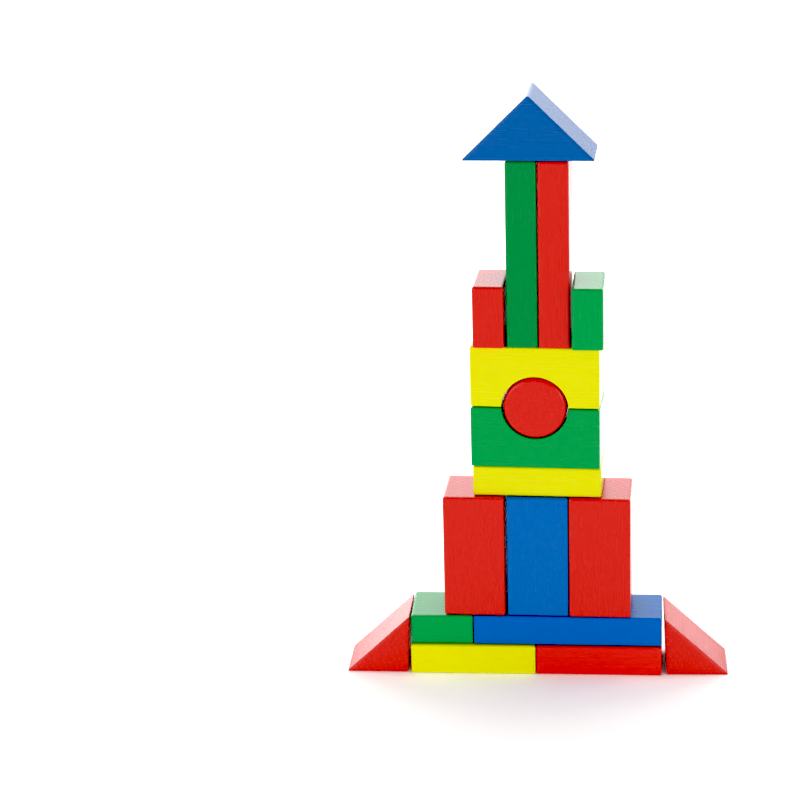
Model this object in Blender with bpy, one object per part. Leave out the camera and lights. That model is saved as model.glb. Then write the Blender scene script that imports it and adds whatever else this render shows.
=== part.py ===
"""Toy building-block tower: eighteen loose wooden blocks, painted and stacked by hand into a rocket shape.

Every block is a solid prism: an outline in the XZ plane, swept along Y, with its edges rounded over.
The blocks only rest on and beside one another, so each is its own object with its own paint.
Metres, +Z up. The tower faces -Y and stands on Z = 0 with its footprint centred on the origin.
"""

from math import asin, cos, pi, radians, sin

import bmesh
import bpy
from mathutils import Vector

# ---- Driving dimensions ----
BLOCK_DEPTH = 0.0308            # front to back, the same on every block
CORNER_RADIUS = 0.0010          # round-over on the edges that run front to back
FACE_EDGE_RADIUS = 0.0006       # around the front and back faces
CYLINDER_EDGE_RADIUS = 0.0014   # around the ends of the cylinder
NOTCH_EDGE_RADIUS = 0.0003      # around a notch, where the sander hardly reaches
RESTING_GAP = 0.0003            # air between a block and the one it rests on
SIDE_AIR = 0.0003               # air between neighbours that stand as close as they go

PLANK_THICKNESS = 0.0145        # the flat blocks, lying down
BASE_BLOCK_LENGTH = 0.0602      # the two flat blocks on the floor
SHORT_BLOCK_LENGTH = 0.0299     # the short flat block; the long plank makes up the rest of its row
UPRIGHT_WIDTH = 0.0293
UPRIGHT_HEIGHT = 0.0603
YELLOW_PLANK_LENGTH = 0.0609
ARCH_LENGTH = 0.0610
ARCH_HEIGHT = 0.0295
CYLINDER_DIAMETER = 0.0297
WINDOW_CLEARANCE = 0.0010       # between the cylinder's radius and the notches' radius
NOTCH_SET_OUT = 0.0008          # how far the notches' centres lie outside their blocks
SIDE_BLOCK_WIDTH = 0.0147
SIDE_BLOCK_HEIGHT = 0.0297
PILLAR_WIDTH = 0.0145
PILLAR_HEIGHT = 0.0891
ROOF_LENGTH = 0.0618
ROOF_HEIGHT = 0.0305
RAMP_LENGTH = 0.0299            # at the foot
RAMP_HEIGHT = 0.0289
RAMP_LEAN = 0.0011              # how far the steep face leans out at its top, past the foot

# Air that was left between neighbours when they were stacked
BASE_BLOCKS_AIR = 0.0003
SHORT_TO_LONG_AIR = 0.0004
LEFT_TO_MIDDLE_UPRIGHT_AIR = 0.0007
MIDDLE_TO_RIGHT_UPRIGHT_AIR = 0.0003
PILLAR_TO_PILLAR_AIR = 0.0005
SIDE_BLOCK_TO_PILLAR_AIR = 0.0006

# Where the middle of each row or single block was set along X
UPRIGHTS_X = 0.0012
YELLOW_PLANK_X = 0.0018
WINDOW_X = 0.0015
PILLARS_X = 0.0029
ROOF_X = -0.0007

# How each block was set down: (backwards from the middle, millimetres; turned anticlockwise, degrees)
HAND_SET = {
    "left_ramp": (-1.8, 0.8),
    "yellow_base_block": (-1.9, 0.9),
    "red_base_block": (-0.7, 0.8),
    "right_ramp": (1.7, 2.7),
    "green_short_block": (-0.2, 1.5),
    "blue_plank": (0.3, 0.6),
    "left_red_upright": (0.6, -0.8),
    "blue_upright": (0.9, -0.1),
    "right_red_upright": (0.4, -0.1),
    "yellow_plank": (2.6, -1.3),
    "green_arch": (1.2, -2.5),
    "yellow_arch": (1.6, -2.5),
    "red_cylinder": (1.4, -2.5),
    "left_red_side_block": (-0.7, -1.2),
    "green_pillar": (0.4, -0.1),
    "red_pillar": (-0.1, -0.4),
    "right_green_side_block": (-3.3, 0.3),
    "blue_roof": (-0.7, -0.6),
}

# Resolution of the round shapes and of the round-over
ARC_STEPS = 24                  # around half a circle
ROUND_OVER_STEPS = 2
SHARP_ANGLE = radians(30)       # only edges that bend more than this are rounded over
RIM_TOLERANCE = 1e-6            # how near an edge must lie to a notch's rim to count as part of it

PAINTS = {                      # gloss paint on hardwood, linear RGB
    "red": (0.62, 0.018, 0.015),
    "yellow": (0.80, 0.76, 0.010),
    "green": (0.005, 0.30, 0.065),
    "blue": (0.005, 0.105, 0.43),
}
PAINT_ROUGHNESS = 0.35


def clear_scene():
    for old in list(bpy.data.objects):
        bpy.data.objects.remove(old, do_unlink=True)


def paint(name, colour):
    """A material of its own for one block, in one of the four paints."""
    material = bpy.data.materials.new(name + "_" + colour + "_paint")
    material.use_nodes = True
    shader = material.node_tree.nodes["Principled BSDF"]
    shader.inputs["Base Color"].default_value = (*PAINTS[colour], 1.0)
    shader.inputs["Roughness"].default_value = PAINT_ROUGHNESS
    shader.inputs["Metallic"].default_value = 0.0
    return material


# ---- Outlines, anticlockwise seen from the front, with the block's foot on z = 0 and x = 0 at its middle ----

def rectangle(width, height):
    return [(-width / 2, 0), (width / 2, 0), (width / 2, height), (-width / 2, height)]


def arc(centre_x, centre_z, radius, start, end, steps):
    """Points on an arc from start to end, both included."""
    angles = [start + (end - start) * i / steps for i in range(steps + 1)]
    return [(centre_x + radius * cos(a), centre_z + radius * sin(a)) for a in angles]


def arch_outline(length, height, notch_radius, notch_on_top):
    """A rectangle with nearly half a round window cut from the middle of its top or bottom edge."""
    dip = asin(NOTCH_SET_OUT / notch_radius)
    if notch_on_top:
        notch = arc(0, height + NOTCH_SET_OUT, notch_radius, -dip, dip - pi, ARC_STEPS)
        return [(-length / 2, 0), (length / 2, 0), (length / 2, height)] + notch + [(-length / 2, height)]
    notch = arc(0, -NOTCH_SET_OUT, notch_radius, pi - dip, dip, ARC_STEPS)
    return [(-length / 2, 0)] + notch + [(length / 2, 0), (length / 2, height), (-length / 2, height)]


def circle(diameter):
    return arc(0, diameter / 2, diameter / 2, -pi / 2, 3 * pi / 2, 2 * ARC_STEPS)[:-1]


def ramp_outline(length, height, lean, steep_side):
    """A triangle with one slope and one steep face: steep_side is +1 with that face at +X, -1 at -X."""
    return [(-length / 2, 0), (length / 2, 0), (steep_side * (length / 2 + lean), height)]


def roof_outline(length, height):
    return [(-length / 2, 0), (length / 2, 0), (0, height)]


def round_over(edge, face_edge_radius, notch):
    """Radius of the round-over on one edge of a swept outline; notch is (height of its centre, its radius)."""
    start, end = (vert.co for vert in edge.verts)
    middle = (start + end) / 2
    if edge.calc_face_angle() < SHARP_ANGLE:
        return 0
    if notch and Vector((middle.x, middle.z - notch[0])).length < notch[1] + RIM_TOLERANCE:
        return NOTCH_EDGE_RADIUS
    return CORNER_RADIUS if middle.y == 0 else face_edge_radius


def make_block(name, outline, colour, x, z, tower, face_edge_radius=FACE_EDGE_RADIUS, notch=None):
    """Sweep an outline through the block's depth, round its edges over and set it down where it stands."""
    set_back, turned = HAND_SET[name]
    bm = bmesh.new()
    front = bm.faces.new([bm.verts.new((px, -BLOCK_DEPTH / 2, pz)) for px, pz in outline])
    swept = bmesh.ops.extrude_face_region(bm, geom=[front])
    back = [item for item in swept["geom"] if isinstance(item, bmesh.types.BMVert)]
    bmesh.ops.translate(bm, verts=back, vec=Vector((0, BLOCK_DEPTH, 0)))
    bmesh.ops.recalc_face_normals(bm, faces=bm.faces)
    weight = bm.edges.layers.float.new("bevel_weight_edge")
    radii = [round_over(edge, face_edge_radius, notch) for edge in bm.edges]
    for edge, radius in zip(bm.edges, radii):
        edge[weight] = radius / max(radii)
    mesh = bpy.data.meshes.new(name)
    bm.to_mesh(mesh)
    bm.free()
    mesh.shade_smooth()
    mesh.materials.append(paint(name, colour))
    block = bpy.data.objects.new(name, mesh)
    bpy.context.collection.objects.link(block)
    bevel = block.modifiers.new("round_over", "BEVEL")
    bevel.limit_method = "WEIGHT"
    bevel.offset_type = "OFFSET"
    bevel.width = max(radii)
    bevel.segments = ROUND_OVER_STEPS
    bevel.harden_normals = True
    block.parent = tower
    block.location = (x, set_back / 1000, z)
    block.rotation_euler = (0, 0, radians(turned))
    return block


# ---- Placing along X ----

def spacing(left, right, air):
    """Distance along X between the middles of two neighbours, each a (name, width).

    It leaves the air between them, and lets either be drawn out along its own sides past the other.
    """
    (left_back, left_turned), (right_back, right_turned) = HAND_SET[left[0]], HAND_SET[right[0]]
    further_back = (right_back - left_back) / 1000
    turn = radians(right_turned - left_turned)
    skew = BLOCK_DEPTH / 2 * abs(sin(turn))
    distances = []
    for own_width, other_width, turned in (
        (left[1], right[1], radians(left_turned)), (right[1], left[1], radians(right_turned))
    ):
        sideways = own_width / 2 + other_width / 2 * cos(turn) + skew + air
        distances.append((sideways - further_back * sin(turned)) / cos(turned))
    return max(distances)


def row_centres(row, airs, middle):
    """Middles along X of neighbours, given as (name, width), with the air between them, about a middle."""
    steps = [spacing(left, right, air) for left, right, air in zip(row, row[1:], airs)]
    width = row[0][1] / 2 + sum(steps) + row[-1][1] / 2
    centres = [middle - width / 2 + row[0][1] / 2]
    for step in steps:
        centres.append(centres[-1] + step)
    return centres


def build_tower():
    tower = bpy.data.objects.new("tower", None)
    bpy.context.collection.objects.link(tower)

    # Heights of the layers, from the floor up
    row_two_z = PLANK_THICKNESS + RESTING_GAP
    uprights_z = row_two_z + PLANK_THICKNESS + RESTING_GAP
    yellow_plank_z = uprights_z + UPRIGHT_HEIGHT + RESTING_GAP
    green_arch_z = yellow_plank_z + PLANK_THICKNESS + RESTING_GAP
    window_z = green_arch_z + ARCH_HEIGHT
    yellow_arch_z = window_z + RESTING_GAP
    pillars_z = yellow_arch_z + ARCH_HEIGHT + RESTING_GAP
    roof_z = pillars_z + PILLAR_HEIGHT + RESTING_GAP

    # Row one: two flat blocks end to end on the floor
    yellow_base = ("yellow_base_block", BASE_BLOCK_LENGTH)
    red_base = ("red_base_block", BASE_BLOCK_LENGTH)
    base_x = row_centres([yellow_base, red_base], [BASE_BLOCKS_AIR], 0)
    for (name, length), colour, x in zip((yellow_base, red_base), ("yellow", "red"), base_x):
        make_block(name, rectangle(length, PLANK_THICKNESS), colour, x, 0, tower)

    # Row two ends level with row one: the long plank takes what the short block leaves
    short_block = ("green_short_block", SHORT_BLOCK_LENGTH)
    base_width = base_x[1] - base_x[0] + BASE_BLOCK_LENGTH
    taken = spacing(short_block, ("blue_plank", 0), SHORT_TO_LONG_AIR) + SHORT_BLOCK_LENGTH / 2
    long_plank = ("blue_plank", base_width - taken)
    row_two_x = row_centres([short_block, long_plank], [SHORT_TO_LONG_AIR], 0)
    for (name, length), colour, x in zip((short_block, long_plank), ("green", "blue"), row_two_x):
        make_block(name, rectangle(length, PLANK_THICKNESS), colour, x, row_two_z, tower)

    # The ramps stand on the floor against the ends of both rows, their steep faces inwards
    reach = RAMP_LENGTH + 2 * RAMP_LEAN
    left_ramp, right_ramp = ("left_ramp", reach), ("right_ramp", reach)
    left_x = min(
        base_x[0] - spacing(left_ramp, yellow_base, SIDE_AIR),
        row_two_x[0] - spacing(left_ramp, short_block, SIDE_AIR),
    )
    right_x = max(
        base_x[1] + spacing(red_base, right_ramp, SIDE_AIR),
        row_two_x[1] + spacing(long_plank, right_ramp, SIDE_AIR),
    )
    for name, x, steep_side in (("left_ramp", left_x, 1), ("right_ramp", right_x, -1)):
        make_block(name, ramp_outline(RAMP_LENGTH, RAMP_HEIGHT, RAMP_LEAN, steep_side), "red", x, 0, tower)

    # Three uprights side by side
    uprights = [(name, UPRIGHT_WIDTH) for name in ("left_red_upright", "blue_upright", "right_red_upright")]
    airs = [LEFT_TO_MIDDLE_UPRIGHT_AIR, MIDDLE_TO_RIGHT_UPRIGHT_AIR]
    upright = rectangle(UPRIGHT_WIDTH, UPRIGHT_HEIGHT)
    for (name, _), colour, x in zip(uprights, ("red", "blue", "red"), row_centres(uprights, airs, UPRIGHTS_X)):
        make_block(name, upright, colour, x, uprights_z, tower)

    yellow_plank = rectangle(YELLOW_PLANK_LENGTH, PLANK_THICKNESS)
    make_block("yellow_plank", yellow_plank, "yellow", YELLOW_PLANK_X, yellow_plank_z, tower)

    # Two notched blocks meet face to face round the cylinder, which lies in the lower notch
    notch_radius = CYLINDER_DIAMETER / 2 + WINDOW_CLEARANCE
    lower_arch = arch_outline(ARCH_LENGTH, ARCH_HEIGHT, notch_radius, notch_on_top=True)
    upper_arch = arch_outline(ARCH_LENGTH, ARCH_HEIGHT, notch_radius, notch_on_top=False)
    lower_notch = (ARCH_HEIGHT + NOTCH_SET_OUT, notch_radius)
    upper_notch = (-NOTCH_SET_OUT, notch_radius)
    make_block("green_arch", lower_arch, "green", WINDOW_X, green_arch_z, tower, notch=lower_notch)
    make_block("yellow_arch", upper_arch, "yellow", WINDOW_X, yellow_arch_z, tower, notch=upper_notch)
    cylinder_z = window_z + NOTCH_SET_OUT - notch_radius + RESTING_GAP
    cylinder = circle(CYLINDER_DIAMETER)
    make_block("red_cylinder", cylinder, "red", WINDOW_X, cylinder_z, tower, CYLINDER_EDGE_RADIUS)

    # Two tall pillars between two short side blocks, all standing on the upper arch
    top_row = [
        ("left_red_side_block", SIDE_BLOCK_WIDTH, SIDE_BLOCK_HEIGHT, "red"),
        ("green_pillar", PILLAR_WIDTH, PILLAR_HEIGHT, "green"),
        ("red_pillar", PILLAR_WIDTH, PILLAR_HEIGHT, "red"),
        ("right_green_side_block", SIDE_BLOCK_WIDTH, SIDE_BLOCK_HEIGHT, "green"),
    ]
    airs = [SIDE_BLOCK_TO_PILLAR_AIR, PILLAR_TO_PILLAR_AIR, SIDE_BLOCK_TO_PILLAR_AIR]
    centres = row_centres([block[:2] for block in top_row], airs, PILLARS_X)
    for (name, width, height, colour), x in zip(top_row, centres):
        make_block(name, rectangle(width, height), colour, x, pillars_z, tower)

    make_block("blue_roof", roof_outline(ROOF_LENGTH, ROOF_HEIGHT), "blue", ROOF_X, roof_z, tower)
    return tower


def centre_on_origin(tower):
    """Move the whole tower so that its bounding box is centred on the origin, seen from above."""
    bpy.context.view_layer.update()
    corners = [block.matrix_world @ vert.co for block in tower.children for vert in block.data.vertices]
    for axis in (0, 1):
        values = [corner[axis] for corner in corners]
        tower.location[axis] = -(min(values) + max(values)) / 2


clear_scene()
centre_on_origin(build_tower())
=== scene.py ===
import math

import bmesh
import bpy
from mathutils import Matrix, Vector, noise


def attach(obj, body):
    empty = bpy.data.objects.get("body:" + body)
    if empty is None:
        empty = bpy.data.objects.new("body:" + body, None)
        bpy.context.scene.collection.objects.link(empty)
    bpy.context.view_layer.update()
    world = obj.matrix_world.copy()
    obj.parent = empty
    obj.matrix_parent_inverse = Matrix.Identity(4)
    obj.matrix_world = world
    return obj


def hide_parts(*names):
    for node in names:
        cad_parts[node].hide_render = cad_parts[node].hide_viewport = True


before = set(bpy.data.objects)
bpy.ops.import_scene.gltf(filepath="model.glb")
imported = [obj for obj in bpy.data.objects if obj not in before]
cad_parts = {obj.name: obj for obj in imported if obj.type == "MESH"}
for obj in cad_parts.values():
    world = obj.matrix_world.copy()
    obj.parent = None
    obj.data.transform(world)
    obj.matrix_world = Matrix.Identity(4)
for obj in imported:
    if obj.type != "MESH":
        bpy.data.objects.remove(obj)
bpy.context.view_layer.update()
print("frame loaded:", len(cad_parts), "blocks")

# Camera, at the angle the tower is seen from
camera = {
    "azimuth": 6.53,  # degrees round to the tower's right
    "elevation": 18.53,
    "roll": -1.54,
    "distance": 1.359,  # metres from the aim point
    "aim": (-0.0646, 0, 0.1335),
    "lens": 128.5,  # millimetres
    "sensor": 36,  # millimetres wide
    "clip": (0.05, 50),
}


def placeCamera():
    azimuth, elevation, roll = (math.radians(camera[key]) for key in ("azimuth", "elevation", "roll"))
    back = Vector((
        math.sin(azimuth) * math.cos(elevation),
        -math.cos(azimuth) * math.cos(elevation),
        math.sin(elevation),
    ))
    right = Vector((math.cos(azimuth), math.sin(azimuth), 0))
    turned = Matrix((right, back.cross(right), back)).transposed() @ Matrix.Rotation(roll, 3, "Z")
    data = bpy.data.cameras.new("studioCamera")
    data.lens = camera["lens"]
    data.sensor_width = camera["sensor"]
    data.clip_start, data.clip_end = camera["clip"]
    rig = bpy.data.objects.new("studioCamera", data)
    rig.matrix_world = Matrix.Translation(Vector(camera["aim"]) + back * camera["distance"]) @ turned.to_4x4()
    bpy.context.scene.collection.objects.link(rig)
    bpy.context.scene.camera = rig


placeCamera()
print("camera placed")


def linear(hexColour):
    # sRGB hex to linear RGBA
    channels = [int(hexColour[i:i + 2], 16) / 255 for i in (1, 3, 5)]
    return tuple(c / 12.92 if c <= 0.04045 else ((c + 0.055) / 1.055) ** 2.4 for c in channels) + (1.0,)


def addNode(tree, kind, settings, links=()):
    # settings hold properties or input values by name, links pairs of input name and source socket
    node = tree.nodes.new(kind)
    for key, value in settings.items():
        if isinstance(key, str) and hasattr(node, key):
            setattr(node, key, value)
        else:
            node.inputs[key].default_value = value
    for key, source in links:
        tree.links.new(source, node.inputs[key])
    return node


# The four paints: satin enamel sprayed on sanded hardwood and clear lacquered
paints = {
    "red": "#D8281F",
    "yellow": "#E9E60F",
    "green": "#02A04A",
    "blue": "#0269BA",
}

paintFinish = {
    "roughness": 0.27,
    "ior": 1.5,
    "relief": 0.002,  # how much of the grain shows through the paint
    "peelRelief": 0.01,
    "reliefHeight": 0.00001,  # metres, for both
    "fibreSpacing": 0.0011,  # metres, across the grain
    "fibreLength": 0.022,  # metres, along the grain
    "ringSpacing": 0.0028,  # metres between growth rings
    "ringStretch": 0.08,  # how slowly the rings change along the grain
    "mottleScale": 90.0,  # patches of thicker and thinner paint in a metre
    "peelSize": 0.0007,  # metres, the sprayed paint's orange peel, drawn a little coarse so that it shows
    "ringShare": 0.2,  # of the grain, the rest is fibres
    "mottleShare": 0.7,  # of the light and dark, the rest is grain
    "shade": 0.005,  # lighter and darker by this share
    "glossShift": 0.006,  # rougher and smoother by this much
}


def blockPaint(block, middle, turned, seed):
    # Satin enamel over wood, even in colour, with the grain only just showing through as relief and gloss
    grain = block["grain"]
    # Painted light: the block's paint is drawn lighter or darker by this factor
    paintedLightLevel = block.get("paintedLightLevel", 1.0)
    material = bpy.data.materials.new(block["name"] + "SatinEnamel")
    material.use_nodes = True
    tree = material.node_tree
    shader = tree.nodes["Principled BSDF"]
    finish = paintFinish

    where = addNode(tree, "ShaderNodeTexCoord", {})
    own = addNode(tree, "ShaderNodeMapping", {
        "vector_type": "TEXTURE", "Location": middle, "Rotation": (0, 0, turned),
    }, [("Vector", where.outputs["Object"])])
    along = 1 / finish["fibreLength"]
    across = 1 / finish["fibreSpacing"]
    stretch = [across, across, across]
    stretch["XYZ".index(grain)] = along
    # The seed takes every block from another part of the timber
    fibrePlace = addNode(tree, "ShaderNodeMapping", {
        "Scale": stretch, "Location": (seed * 3.7, seed * 1.9, seed * 2.3),
    }, [("Vector", own.outputs["Vector"])])
    fibres = addNode(tree, "ShaderNodeTexNoise", {
        "Scale": 1.0, "Detail": 1.0, "Roughness": 0.5,
    }, [("Vector", fibrePlace.outputs["Vector"])])

    # Growth rings run the length of the block and show as long figures on its sides
    ringStretch = [1, 1, 1]
    ringStretch["XYZ".index(grain)] = finish["ringStretch"]
    ringPlace = addNode(tree, "ShaderNodeMapping", {
        "Scale": ringStretch, "Location": (0.031 + seed * 0.004, 0.018 + seed * 0.007, 0.024),
    }, [("Vector", own.outputs["Vector"])])
    rings = addNode(tree, "ShaderNodeTexWave", {
        "wave_type": "RINGS", "rings_direction": grain,
        "Scale": 0.05 / finish["ringSpacing"] * 2 * math.pi,  # the node's own rings are 2 pi / 20 apart
        "Distortion": 2.5, "Detail": 2.0, "Detail Scale": 0.6,
    }, [("Vector", ringPlace.outputs["Vector"])])

    mottle = addNode(tree, "ShaderNodeTexNoise", {
        "Scale": finish["mottleScale"], "Detail": 4.0, "Roughness": 0.6,
    }, [("Vector", own.outputs["Vector"])])
    peel = addNode(tree, "ShaderNodeTexNoise", {
        "Scale": 1 / finish["peelSize"], "Detail": 1.0, "Roughness": 0.4,
    }, [("Vector", own.outputs["Vector"])])

    # A little light and dark with the grain and the paint's thickness, times the block's painted light level
    grainLook = addNode(tree, "ShaderNodeMix", {
        "data_type": "FLOAT", "Factor": finish["ringShare"],
    }, [(2, fibres.outputs["Fac"]), (3, rings.outputs["Fac"])])
    look = addNode(tree, "ShaderNodeMix", {
        "data_type": "FLOAT", "Factor": finish["mottleShare"],
    }, [(2, grainLook.outputs[0]), (3, mottle.outputs["Fac"])])
    shade = addNode(tree, "ShaderNodeMapRange", {
        "From Min": 0.25, "From Max": 0.75,
        "To Min": (1 - finish["shade"]) * paintedLightLevel, "To Max": (1 + finish["shade"]) * paintedLightLevel,
    }, [("Value", look.outputs[0])])
    colour = addNode(tree, "ShaderNodeVectorMath", {
        "operation": "SCALE", 0: linear(paints[block["paint"]])[:3],
    }, [("Scale", shade.outputs["Result"])])
    tree.links.new(colour.outputs["Vector"], shader.inputs["Base Color"])

    gloss = addNode(tree, "ShaderNodeMapRange", {
        "From Min": 0.3, "From Max": 0.7,
        "To Min": finish["roughness"] - finish["glossShift"],
        "To Max": finish["roughness"] + finish["glossShift"],
    }, [("Value", grainLook.outputs[0])])
    tree.links.new(gloss.outputs["Result"], shader.inputs["Roughness"])

    grainRelief = addNode(tree, "ShaderNodeBump", {
        "Strength": block.get("relief", finish["relief"]), "Distance": finish["reliefHeight"],
    }, [("Height", grainLook.outputs[0])])
    peelRelief = addNode(tree, "ShaderNodeBump", {
        "Strength": finish["peelRelief"], "Distance": finish["reliefHeight"],
    }, [("Height", peel.outputs["Fac"]), ("Normal", grainRelief.outputs["Normal"])])
    tree.links.new(peelRelief.outputs["Normal"], shader.inputs["Normal"])
    shader.inputs["IOR"].default_value = block.get("ior", finish["ior"])
    return material


# How every block was cut and sanded
cutting = {
    "cornerRadius": 0.0010,  # edges that run front to back
    "faceRadius": 0.0006,  # around the front and the back
    "notchRadius": 0.0003,  # around a notch, where the sander hardly reaches
    "edgeSteps": 6,
    "cylinderSteps": 128,
    "notchSteps": 64,
    "tolerance": 0.000001,  # metres, within which a point counts as on the notch or on the middle
    "sharpAngle": 25,  # degrees, flatter edges than this stay as they are
    "stripWidth": 0.0005,  # wider faces than this belong to the flats
    "cell": 0.002,  # size of the surface cells that carry the sanding marks
    "cellMargin": 0.0003,  # from a rounded edge to the first cell
    "sanding": 0.00006,  # deepest hollow left by sanding a face
    "edgeSanding": 0.00012,  # deepest on the rounded edges
    "slowWear": 70,  # per metre, how closely the hollows of a face follow each other
    "quickWear": 320,  # the same on the edges
}


def readBlock(node):
    # Where the frame holds a block: how far it is turned, its middle and its size in its own directions
    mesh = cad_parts[node].data
    front = max((face for face in mesh.polygons if face.normal.y < -0.9), key=lambda face: face.area)
    turned = math.atan2(front.normal.x, -front.normal.y)
    straighten = Matrix.Rotation(-turned, 3, "Z")
    corners = [straighten @ vertex.co for vertex in mesh.vertices]
    low = Vector([min(corner[axis] for corner in corners) for axis in range(3)])
    high = Vector([max(corner[axis] for corner in corners) for axis in range(3)])
    return {"mesh": mesh, "straighten": straighten, "turned": turned, "low": low, "high": high}


def steepFoot(place, side):
    # Where a ramp's steep face, carried down, meets the floor
    normals = [(place["straighten"] @ face.normal, face) for face in place["mesh"].polygons]
    normal, face = max((pair for pair in normals if pair[0].x * side > 0.9), key=lambda pair: pair[1].area)
    point = place["straighten"] @ place["mesh"].vertices[face.vertices[0]].co
    return point.x + normal.z / normal.x * (point.z - place["low"].z)


def boxShape(bm, size, block):
    bmesh.ops.create_cube(bm, size=1, matrix=Matrix.Diagonal((*size, 1)))


def rampShape(bm, size, block):
    # A cube with the top edge on its low side brought down to the floor, and the other leaning out a little
    bmesh.ops.create_cube(bm, size=1, matrix=Matrix.Diagonal((*size, 1)))
    steep = block["steepSide"]
    foot = {vertex.co.y > 0: vertex for vertex in bm.verts if vertex.co.x * steep < 0 and vertex.co.z < 0}
    top = [vertex for vertex in bm.verts if vertex.co.x * steep < 0 and vertex.co.z > 0]
    peak = [vertex for vertex in bm.verts if vertex.co.x * steep > 0 and vertex.co.z > 0]
    bmesh.ops.translate(bm, vec=(steep * block["lean"], 0, 0), verts=peak)
    bmesh.ops.weld_verts(bm, targetmap={vertex: foot[vertex.co.y > 0] for vertex in top})


def roofShape(bm, size, block):
    # A cube with its two top edges brought together over the middle
    bmesh.ops.create_cube(bm, size=1, matrix=Matrix.Diagonal((*size, 1)))
    for side in (-1, 1):
        ends = [vertex for vertex in bm.verts if vertex.co.z > 0 and vertex.co.y * side > 0]
        bmesh.ops.pointmerge(bm, verts=ends, merge_co=(0, side * size.y / 2, size.z / 2))


def cylinderShape(bm, size, block):
    bmesh.ops.create_cone(
        bm, cap_ends=True, segments=cutting["cylinderSteps"], radius1=size.z / 2, radius2=size.z / 2,
        depth=size.y, matrix=Matrix.Rotation(math.pi / 2, 4, "X"),
    )


def archShape(bm, size, block):
    # Nearly half the window spun as a wire, joined to the outer corners, filled and swept through the depth
    side = block["notchSide"]
    rim = side * size.z / 2
    y = -size.y / 2
    setOut = notch["setOut"]
    dip = math.asin(setOut / notch["radius"])
    start = bm.verts.new((notch["radius"] * math.cos(dip), y, rim))
    spun = bmesh.ops.spin(
        bm, geom=[start], cent=(0, y, rim + side * setOut), axis=(0, 1, 0),
        angle=side * (math.pi - 2 * dip), steps=cutting["notchSteps"], use_merge=False,
    )
    end = spun["geom_last"][0]
    corners = [bm.verts.new((x * size.x / 2, y, z * rim)) for x, z in ((-1, 1), (-1, -1), (1, -1), (1, 1))]
    path = [end, *corners, start]
    for first, second in zip(path, path[1:]):
        bm.edges.new((first, second))
    face = bmesh.ops.contextual_create(bm, geom=bm.edges[:])["faces"]
    swept = bmesh.ops.extrude_face_region(bm, geom=face)["geom"]
    back = [part for part in swept if isinstance(part, bmesh.types.BMVert)]
    bmesh.ops.translate(bm, vec=(0, size.y, 0), verts=back)


def sliceSurface(bm, size):
    # Even cells over the surface, with one fine cell beside each rounded edge so that the flats stay flat
    for axis in range(3):
        reach = size[axis] / 2
        edge = reach - cutting["cornerRadius"] - cutting["cellMargin"]
        count = max(2, round(2 * edge / cutting["cell"]))
        places = [-edge + 2 * edge * step / count for step in range(count + 1)]
        direction = Vector([1 if axis == each else 0 for each in range(3)])
        for place in places:
            bmesh.ops.bisect_plane(
                bm, geom=bm.verts[:] + bm.edges[:] + bm.faces[:], dist=1e-7,
                plane_co=direction * place, plane_no=direction,
            )


def sandSurface(bm, seed):
    # Hand sanding takes a little more in some places than others, and most on the edges
    wear = bm.verts.layers.float["roundOver"]
    drift = Vector((seed * 7.3, seed * 3.1, seed * 5.7))
    moves = []
    for vertex in bm.verts:
        slow = 0.5 + 0.5 * noise.noise(vertex.co * cutting["slowWear"] + drift)
        quick = 0.5 + 0.5 * noise.noise(vertex.co * cutting["quickWear"] + drift * 2)
        depth = cutting["sanding"] * slow + cutting["edgeSanding"] * quick * vertex[wear]
        moves.append(vertex.normal * -depth)
    for vertex, move in zip(bm.verts, moves):
        vertex.co += move


def edgeRadius(edge, size, block):
    # How round the sander left an edge
    if edge.calc_face_angle() < math.radians(cutting["sharpAngle"]):
        return 0
    if "edgeRadius" in block:
        return block["edgeRadius"]
    middle = (edge.verts[0].co + edge.verts[1].co) / 2
    if "notchSide" in block:
        rim = block["notchSide"] * (size.z / 2 + notch["setOut"])
        if math.hypot(middle.x, middle.z - rim) < notch["radius"] + cutting["tolerance"]:
            return cutting["notchRadius"]
    frontToBack = abs(middle.y) < cutting["tolerance"]
    return cutting["cornerRadius"] if frontToBack else cutting["faceRadius"]


def roundEdges(bm, size, block):
    # Every edge takes its own share of the largest radius, so a Bevel modifier does the rounding
    share = bm.edges.layers.float.new("bevel_weight_edge")
    radii = [edgeRadius(edge, size, block) for edge in bm.edges]
    for edge, radius in zip(bm.edges, radii):
        edge[share] = radius / max(radii)
    mesh = bpy.data.meshes.new("uncut")
    bm.to_mesh(mesh)
    uncut = bpy.data.objects.new("uncut", mesh)
    bpy.context.scene.collection.objects.link(uncut)
    bevel = uncut.modifiers.new("roundOver", "BEVEL")
    bevel.limit_method = "WEIGHT"
    bevel.offset_type = "OFFSET"
    bevel.width = max(radii)
    bevel.segments = cutting["edgeSteps"]
    cut = uncut.evaluated_get(bpy.context.evaluated_depsgraph_get())
    bm.clear()
    bm.from_mesh(cut.to_mesh())
    cut.to_mesh_clear()
    bpy.data.objects.remove(uncut)
    bpy.data.meshes.remove(mesh)


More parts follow.
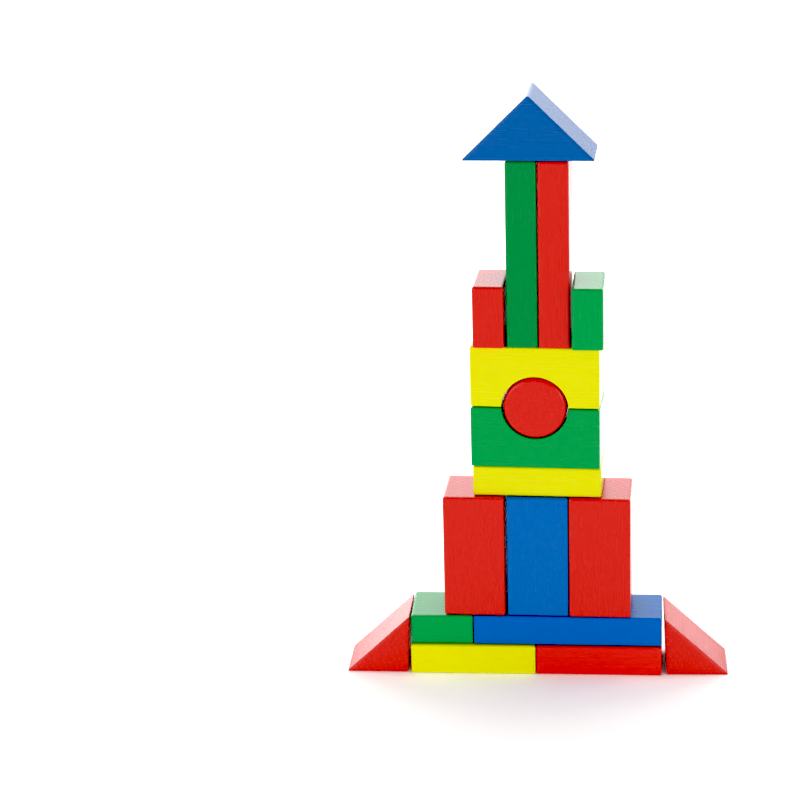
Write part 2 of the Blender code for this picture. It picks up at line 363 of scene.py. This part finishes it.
def makeBlock(block, seed):
    # Shaped, rounded and sanded in its own directions, then turned and moved to its place in the tower
    place = readBlock(block["node"])
    size = place["high"] - place["low"]
    if "length" in block:  # rounding takes the tips off the sloping blocks, so their full size is given
        size.x = block["length"]
        size.z = block["height"]
    middle = (place["low"] + place["high"]) / 2
    middle.z = place["low"].z + size.z / 2
    if "steepSide" in block:
        middle.x = steepFoot(place, block["steepSide"]) - block["steepSide"] * size.x / 2
    bm = bmesh.new()
    block["shape"](bm, size, block)
    bmesh.ops.recalc_face_normals(bm, faces=bm.faces)
    roundEdges(bm, size, block)
    # Only corners that no flat face touches are fully worn
    wear = bm.verts.layers.float.new("roundOver")
    for vertex in bm.verts:
        vertex[wear] = 1.0
    for face in bm.faces:
        if min(edge.calc_length() for edge in face.edges) > cutting["stripWidth"]:
            for vertex in face.verts:
                vertex[wear] = 0.0
    sliceSurface(bm, size)
    bmesh.ops.triangulate(bm, faces=[face for face in bm.faces if len(face.verts) > 4])
    bm.normal_update()
    sandSurface(bm, seed)
    turned = Matrix.Rotation(place["turned"], 3, "Z")
    centre = turned @ middle
    bmesh.ops.rotate(bm, cent=(0, 0, 0), matrix=turned, verts=bm.verts)
    bmesh.ops.translate(bm, vec=centre, verts=bm.verts)
    mesh = bpy.data.meshes.new(block["name"])
    bm.to_mesh(mesh)
    bm.free()
    mesh.shade_smooth()
    mesh.materials.append(blockPaint(block, centre, place["turned"], seed))
    piece = bpy.data.objects.new(block["name"], mesh)
    bpy.context.scene.collection.objects.link(piece)
    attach(piece, block["node"])
    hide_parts(block["node"])
    return piece


notch = {"radius": 0.01585, "setOut": 0.0008}  # its centre lies a little outside the block
leftRamp = {"name": "leftRamp", "node": "left_ramp", "paint": "red", "grain": "Y",
            "shape": rampShape, "steepSide": 1, "length": 0.0299, "height": 0.0289, "lean": 0.0011}
rightRamp = {"name": "rightRamp", "node": "right_ramp", "paint": "red", "grain": "Y",
             "shape": rampShape, "steepSide": -1, "length": 0.0299, "height": 0.0289, "lean": 0.0011}
# paintedLightLevel scales a block's paint: the low blocks are drawn lighter as painted light, for light the
# lamps don't bring to them; the green pillar and the blue roof are drawn darker
yellowBase = {"name": "yellowBase", "node": "yellow_base_block", "paint": "yellow", "grain": "X",
              "shape": boxShape, "paintedLightLevel": 1.04}
redBase = {"name": "redBase", "node": "red_base_block", "paint": "red", "grain": "X",
           "shape": boxShape, "paintedLightLevel": 1.12}
greenShort = {"name": "greenShort", "node": "green_short_block", "paint": "green", "grain": "X",
              "shape": boxShape, "paintedLightLevel": 1.06, "relief": 0.1}
bluePlank = {"name": "bluePlank", "node": "blue_plank", "paint": "blue", "grain": "X",
             "shape": boxShape, "paintedLightLevel": 1.12, "ior": 1.25, "relief": 0.15}
leftUpright = {"name": "leftUpright", "node": "left_red_upright", "paint": "red", "grain": "Z",
               "shape": boxShape}
blueUpright = {"name": "blueUpright", "node": "blue_upright", "paint": "blue", "grain": "Z",
               "shape": boxShape}
rightUpright = {"name": "rightUpright", "node": "right_red_upright", "paint": "red", "grain": "Z",
                "shape": boxShape}
yellowPlank = {"name": "yellowPlank", "node": "yellow_plank", "paint": "yellow", "grain": "X",
               "shape": boxShape}
greenArch = {"name": "greenArch", "node": "green_arch", "paint": "green", "grain": "X",
             "shape": archShape, "notchSide": 1}
yellowArch = {"name": "yellowArch", "node": "yellow_arch", "paint": "yellow", "grain": "X",
              "shape": archShape, "notchSide": -1}
redCylinder = {"name": "redCylinder", "node": "red_cylinder", "paint": "red", "grain": "Y",
               "shape": cylinderShape, "edgeRadius": 0.0014}
leftSideBlock = {"name": "leftSideBlock", "node": "left_red_side_block", "paint": "red", "grain": "Z",
                 "shape": boxShape}
rightSideBlock = {"name": "rightSideBlock", "node": "right_green_side_block", "paint": "green", "grain": "Z",
                  "shape": boxShape}
greenPillar = {"name": "greenPillar", "node": "green_pillar", "paint": "green", "grain": "Z",
               "shape": boxShape, "paintedLightLevel": 0.77}
redPillar = {"name": "redPillar", "node": "red_pillar", "paint": "red", "grain": "Z",
             "shape": boxShape}
blueRoof = {"name": "blueRoof", "node": "blue_roof", "paint": "blue", "grain": "X",
            "shape": roofShape, "length": 0.0618, "height": 0.0305, "paintedLightLevel": 0.8}

blocks = [
    leftRamp, rightRamp, yellowBase, redBase, greenShort, bluePlank, leftUpright, blueUpright, rightUpright,
    yellowPlank, greenArch, yellowArch, redCylinder, leftSideBlock, rightSideBlock, greenPillar, redPillar,
    blueRoof,
]
for seed, block in enumerate(blocks, 1):
    made = makeBlock(block, seed)
    print("made", made.name, len(made.data.polygons), "faces")

# A white studio with a bright wall of light behind, two soft boxes in front and one overhead
studio = {
    "floorSize": 12.0,  # metres
    "floorColour": 1.2,  # above white, painted light for the light that the floor throws back at the blocks
    "floorInFront": 1.26,  # this and the next two are painted light, colours above white for the camera and for reflections
    "floorBehind": 2.4,
    "floorFar": 3.4,
    "floorRoughness": 0.9,
    "floorGloss": 0.1,
    "rise": (0.0, 0.2),  # metres behind the tower, where the painted light rises from the front's tone to the one behind
    "fall": (0.7, 1.3),  # and back again
    "farStart": (1.45, 1.75),  # metres all round, to the far tone of painted light
    "surround": 0.35,
    "blackLevel": 0.045,
}
softboxes = {
    "wallFootLeft": {"size": (2.2, 0.5), "at": (-1.1, 1.7, 0.25), "aim": (-1.1, 0, 0.25), "radiance": 2.9},
    "wallFootRight": {"size": (2.2, 0.5), "at": (1.1, 1.7, 0.25), "aim": (1.1, 0, 0.25), "radiance": 0.9},
    "wallTop": {"size": (4.5, 1.0), "at": (0, 1.7, 1.0), "aim": (0, 0, 1.0), "radiance": 2.4},
    "overhead": {"size": (1.1, 0.8), "at": (0, 0.1, 2.0), "aim": (0, 0, 0), "radiance": 5.0},
    "frontLeft": {"size": (1.2, 0.9), "at": (-1.5, -1.9, 0.5), "aim": (0, 0, 0.14), "radiance": 3.6},
    "frontRight": {"size": (1.2, 0.9), "at": (1.5, -1.9, 0.5), "aim": (0, 0, 0.14), "radiance": 3.6},
}


def makeFloor():
    bm = bmesh.new()
    bmesh.ops.create_grid(bm, x_segments=1, y_segments=1, size=studio["floorSize"] / 2)
    mesh = bpy.data.meshes.new("paleFloor")
    bm.to_mesh(mesh)
    bm.free()
    floor = bpy.data.objects.new("paleFloor", mesh)
    bpy.context.scene.collection.objects.link(floor)
    # White floor with painted light: its colour runs above white, brighter just behind the tower and towards
    # the ends of the studio, with a lower tone for the light it throws back at the blocks
    material = bpy.data.materials.new("whiteFloorPaintedLight")
    material.use_nodes = True
    tree = material.node_tree
    shader = tree.nodes["Principled BSDF"]
    ray = addNode(tree, "ShaderNodeLightPath", {})
    where = addNode(tree, "ShaderNodeTexCoord", {})
    place = addNode(tree, "ShaderNodeSeparateXYZ", {}, [("Vector", where.outputs["Object"])])
    rising = addNode(tree, "ShaderNodeMapRange", {
        "From Min": studio["rise"][0], "From Max": studio["rise"][1],
        "To Min": studio["floorInFront"], "To Max": studio["floorBehind"],
    }, [("Value", place.outputs["Y"])])
    falling = addNode(tree, "ShaderNodeMapRange", {
        "From Min": studio["fall"][0], "From Max": studio["fall"][1],
        "To Min": studio["floorBehind"], "To Max": studio["floorInFront"],
    }, [("Value", place.outputs["Y"])])
    near = addNode(tree, "ShaderNodeMath", {"operation": "MINIMUM"}, [
        (0, rising.outputs["Result"]), (1, falling.outputs["Result"]),
    ])
    distance = addNode(tree, "ShaderNodeVectorMath", {"operation": "LENGTH"}, [(0, where.outputs["Object"])])
    far = addNode(tree, "ShaderNodeMapRange", {
        "From Min": studio["farStart"][0], "From Max": studio["farStart"][1],
        "To Min": studio["floorInFront"], "To Max": studio["floorFar"],
    }, [("Value", distance.outputs["Value"])])
    seen = addNode(tree, "ShaderNodeMath", {"operation": "MAXIMUM"}, [
        (0, near.outputs["Value"]), (1, far.outputs["Result"]),
    ])
    tone = addNode(tree, "ShaderNodeMix", {
        "data_type": "FLOAT", 3: studio["floorColour"],
    }, [(0, ray.outputs["Is Diffuse Ray"]), (2, seen.outputs["Value"])])
    tree.links.new(tone.outputs[0], shader.inputs["Base Color"])
    shader.inputs["Roughness"].default_value = studio["floorRoughness"]
    shader.inputs["Specular IOR Level"].default_value = studio["floorGloss"]
    mesh.materials.append(material)


def makeLights():
    for name, box in softboxes.items():
        data = bpy.data.lights.new(name, "AREA")
        data.shape = "RECTANGLE"
        data.size, data.size_y = box["size"]
        data.energy = box["radiance"] * math.pi * data.size * data.size_y  # watts
        light = bpy.data.objects.new(name, data)
        light.location = box["at"]
        light.rotation_euler = (Vector(box["aim"]) - light.location).to_track_quat("-Z", "Y").to_euler()
        light.visible_camera = False
        bpy.context.scene.collection.objects.link(light)
    world = bpy.data.worlds.new("whiteStudio")
    world.use_nodes = True
    bpy.context.scene.world = world
    tree = world.node_tree
    surround = tree.nodes["Background"]
    surround.inputs["Color"].default_value = (1, 1, 1, 1)
    surround.inputs["Strength"].default_value = studio["surround"]
    # The camera sees plain white, the blocks a dimmer room
    seen = addNode(tree, "ShaderNodeBackground", {"Color": (1, 1, 1, 1), "Strength": 1.0})
    ray = addNode(tree, "ShaderNodeLightPath", {})
    mix = addNode(tree, "ShaderNodeMixShader", {}, [
        (0, ray.outputs["Is Camera Ray"]), (1, surround.outputs[0]), (2, seen.outputs[0]),
    ])
    tree.links.new(mix.outputs[0], tree.nodes["World Output"].inputs["Surface"])


def setView():
    # Standard colours, with the black point set a little up so that the darks are full
    view = bpy.context.scene.view_settings
    view.view_transform = "Standard"
    view.use_curve_mapping = True
    view.curve_mapping.black_level = [studio["blackLevel"]] * 3
    view.curve_mapping.update()


makeFloor()
makeLights()
setView()
print("studio lit")
